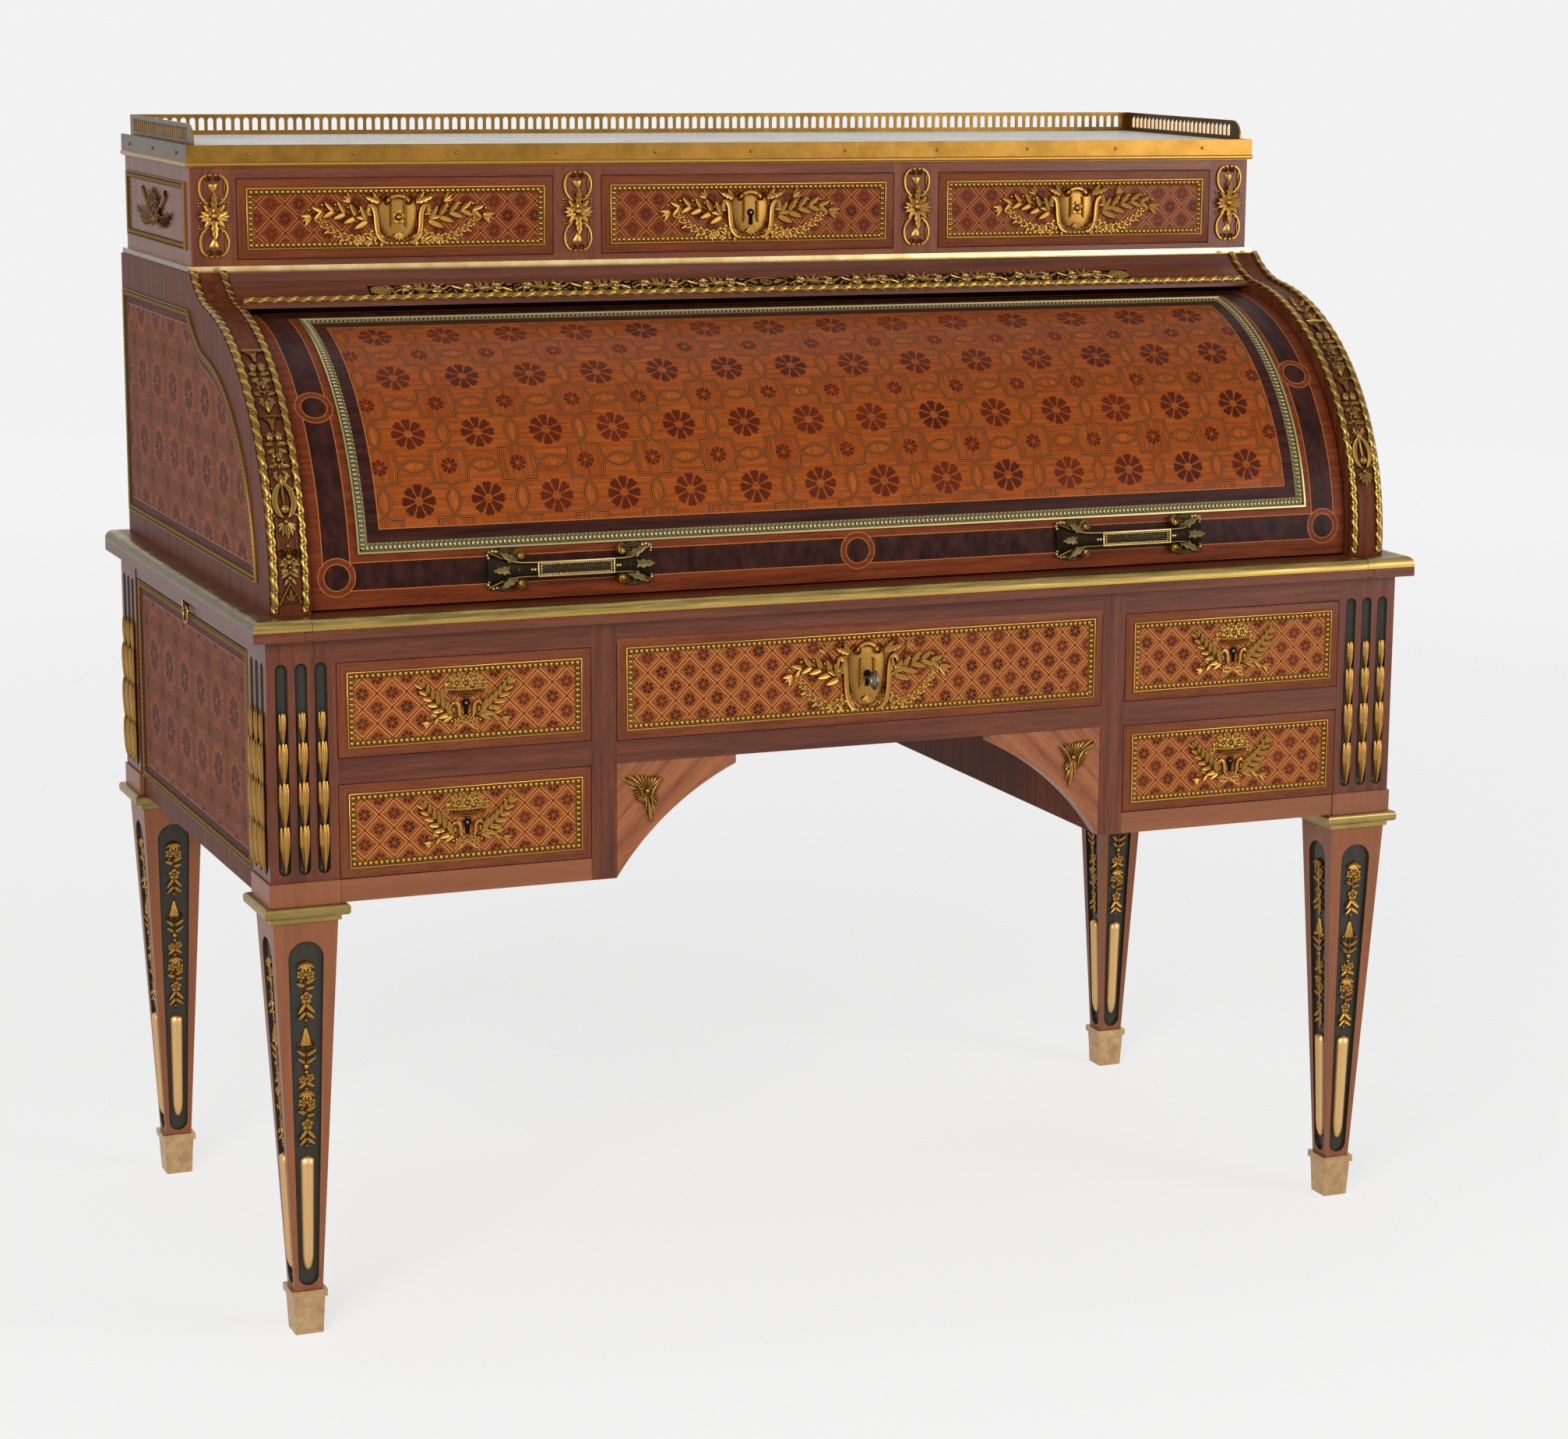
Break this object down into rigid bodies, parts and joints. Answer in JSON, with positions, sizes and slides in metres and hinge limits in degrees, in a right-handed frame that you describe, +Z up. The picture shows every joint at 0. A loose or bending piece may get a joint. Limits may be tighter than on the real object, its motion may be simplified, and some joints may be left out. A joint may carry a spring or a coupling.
{
  "type": "cylinder desk",
  "caption": "Cylinder desk on tapered legs: pedestal drawers beside a kneehole, a turning quarter-round fall, pull-out slides, upper drawers, marble slab and pierced gallery.",
  "frame": {"origin": "on the floor, under the middle of the object's box", "axes": "+X to the user's right, +Y to the back, +Z up"},
  "size_m": [1.378, 0.72, 1.272],
  "materials": {
    "veneer": "French polished marquetry veneer",
    "carcase": "waxed oak",
    "gilt": "gilt bronze, worn",
    "brass": "patinated brass",
    "steel": "dark steel",
    "leather": "tooled leather",
    "marble": "polished white marble"
  },
  "bodies": {
    "desk": {"legs": "veneer", "leg_mounts": "gilt", "sabots": "brass", "leg_collars": "brass", "corner_posts": "veneer", "spandrels": "veneer", "base_mounts": "gilt", "front_frame": "veneer", "pedestal_walls": "carcase", "dust_boards": "carcase", "base_side_panels": "veneer", "back_boards": "carcase", "panel_frames": "gilt", "desk_top": "veneer", "desk_edge_moulding": "brass", "cheeks": "veneer", "fall_pivots": "steel", "rope_mouldings": "gilt", "frieze_rail": "veneer", "nest": "veneer", "upper_case": "veneer", "string_moulding": "brass", "upper_mounts": "gilt", "marble_top": "marble", "top_edge_band": "brass", "gallery": "gilt"},
    "fall": {"fall_panel": "veneer", "fall_frame": "gilt", "fall_handles": "gilt", "fall_arms": "steel"},
    "writing_slide": {"writing_slide": "veneer", "writing_leather": "leather", "writing_slide_moulding": "brass"},
    "key": {"key": "steel"},
    "lock_bolt": {"lock_bolt": "steel"},
    "side_slide_left": {"side_slide_left": "veneer", "slide_knob_left": "gilt"},
    "ring_pull_left": {"ring_pull_left": "gilt"},
    "side_slide_right": {"side_slide_right": "veneer", "slide_knob_right": "gilt"},
    "ring_pull_right": {"ring_pull_right": "gilt"},
    "drawer_left_upper": {"drawer_left_upper": "veneer", "drawer_left_upper_mounts": "gilt"},
    "drawer_left_lower": {"drawer_left_lower": "veneer", "drawer_left_lower_mounts": "gilt"},
    "drawer_centre": {"drawer_centre": "veneer", "drawer_centre_mounts": "gilt"},
    "drawer_right_upper": {"drawer_right_upper": "veneer", "drawer_right_upper_mounts": "gilt"},
    "drawer_right_lower": {"drawer_right_lower": "veneer", "drawer_right_lower_mounts": "gilt"},
    "case_drawer_left": {"case_drawer_left": "veneer", "case_drawer_left_mounts": "gilt"},
    "case_drawer_centre": {"case_drawer_centre": "veneer", "case_drawer_centre_mounts": "gilt"},
    "case_drawer_right": {"case_drawer_right": "veneer", "case_drawer_right_mounts": "gilt"},
    "nest_drawer_left": {"nest_drawer_left": "veneer"},
    "nest_drawer_middle": {"nest_drawer_middle": "veneer"},
    "nest_drawer_right": {"nest_drawer_right": "veneer"}
  },
  "joints": [
    {"name": "fall_turn", "type": "hinge", "parent": "desk", "child": "fall", "pos_m": [0, -0.026, 0.797], "axis": [-1, 0, 0], "range_deg": [0, 72]},
    {"name": "writing_slide_pull", "type": "slide", "parent": "desk", "child": "writing_slide", "axis": [0, -1, 0], "range_m": [0, 0.26]},
    {"name": "side_slide_left_pull", "type": "slide", "parent": "desk", "child": "side_slide_left", "axis": [-1, 0, 0], "range_m": [0, 0.25]},
    {"name": "ring_pull_left_swing", "type": "hinge", "parent": "side_slide_left", "child": "ring_pull_left", "pos_m": [-0.67575, 0.012, 0.7509], "axis": [0, 1, 0], "range_deg": [0, 90]},
    {"name": "side_slide_right_pull", "type": "slide", "parent": "desk", "child": "side_slide_right", "axis": [1, 0, 0], "range_m": [0, 0.25]},
    {"name": "ring_pull_right_swing", "type": "hinge", "parent": "side_slide_right", "child": "ring_pull_right", "pos_m": [0.67575, 0.012, 0.7509], "axis": [0, -1, 0], "range_deg": [0, 90]},
    {"name": "drawer_left_upper_pull", "type": "slide", "parent": "desk", "child": "drawer_left_upper", "axis": [0, -1, 0], "range_m": [0, 0.4]},
    {"name": "drawer_left_lower_pull", "type": "slide", "parent": "desk", "child": "drawer_left_lower", "axis": [0, -1, 0], "range_m": [0, 0.4]},
    {"name": "drawer_centre_pull", "type": "slide", "parent": "desk", "child": "drawer_centre", "axis": [0, -1, 0], "range_m": [0, 0.4]},
    {"name": "drawer_right_upper_pull", "type": "slide", "parent": "desk", "child": "drawer_right_upper", "axis": [0, -1, 0], "range_m": [0, 0.4]},
    {"name": "drawer_right_lower_pull", "type": "slide", "parent": "desk", "child": "drawer_right_lower", "axis": [0, -1, 0], "range_m": [0, 0.4]},
    {"name": "case_drawer_left_pull", "type": "slide", "parent": "desk", "child": "case_drawer_left", "axis": [0, -1, 0], "range_m": [0, 0.2]},
    {"name": "case_drawer_centre_pull", "type": "slide", "parent": "desk", "child": "case_drawer_centre", "axis": [0, -1, 0], "range_m": [0, 0.2]},
    {"name": "case_drawer_right_pull", "type": "slide", "parent": "desk", "child": "case_drawer_right", "axis": [0, -1, 0], "range_m": [0, 0.2]},
    {"name": "nest_drawer_left_pull", "type": "slide", "parent": "desk", "child": "nest_drawer_left", "axis": [0, -1, 0], "range_m": [0, 0.1]},
    {"name": "nest_drawer_middle_pull", "type": "slide", "parent": "desk", "child": "nest_drawer_middle", "axis": [0, -1, 0], "range_m": [0, 0.1]},
    {"name": "nest_drawer_right_pull", "type": "slide", "parent": "desk", "child": "nest_drawer_right", "axis": [0, -1, 0], "range_m": [0, 0.1]},
    {"name": "key_turn", "type": "hinge", "parent": "drawer_centre", "child": "key", "pos_m": [0, -0.316, 0.68325], "axis": [0, 1, 0], "range_deg": [0, 90]},
    {"name": "lock_bolt_throw", "type": "slide", "parent": "drawer_centre", "child": "lock_bolt", "axis": [0, 0, 1], "range_m": [0, 0.008]}
  ],
  "couplings": [
    {"joint": "key_turn", "follows": "lock_bolt_throw", "rad_per_m": 196.3}
  ]
}
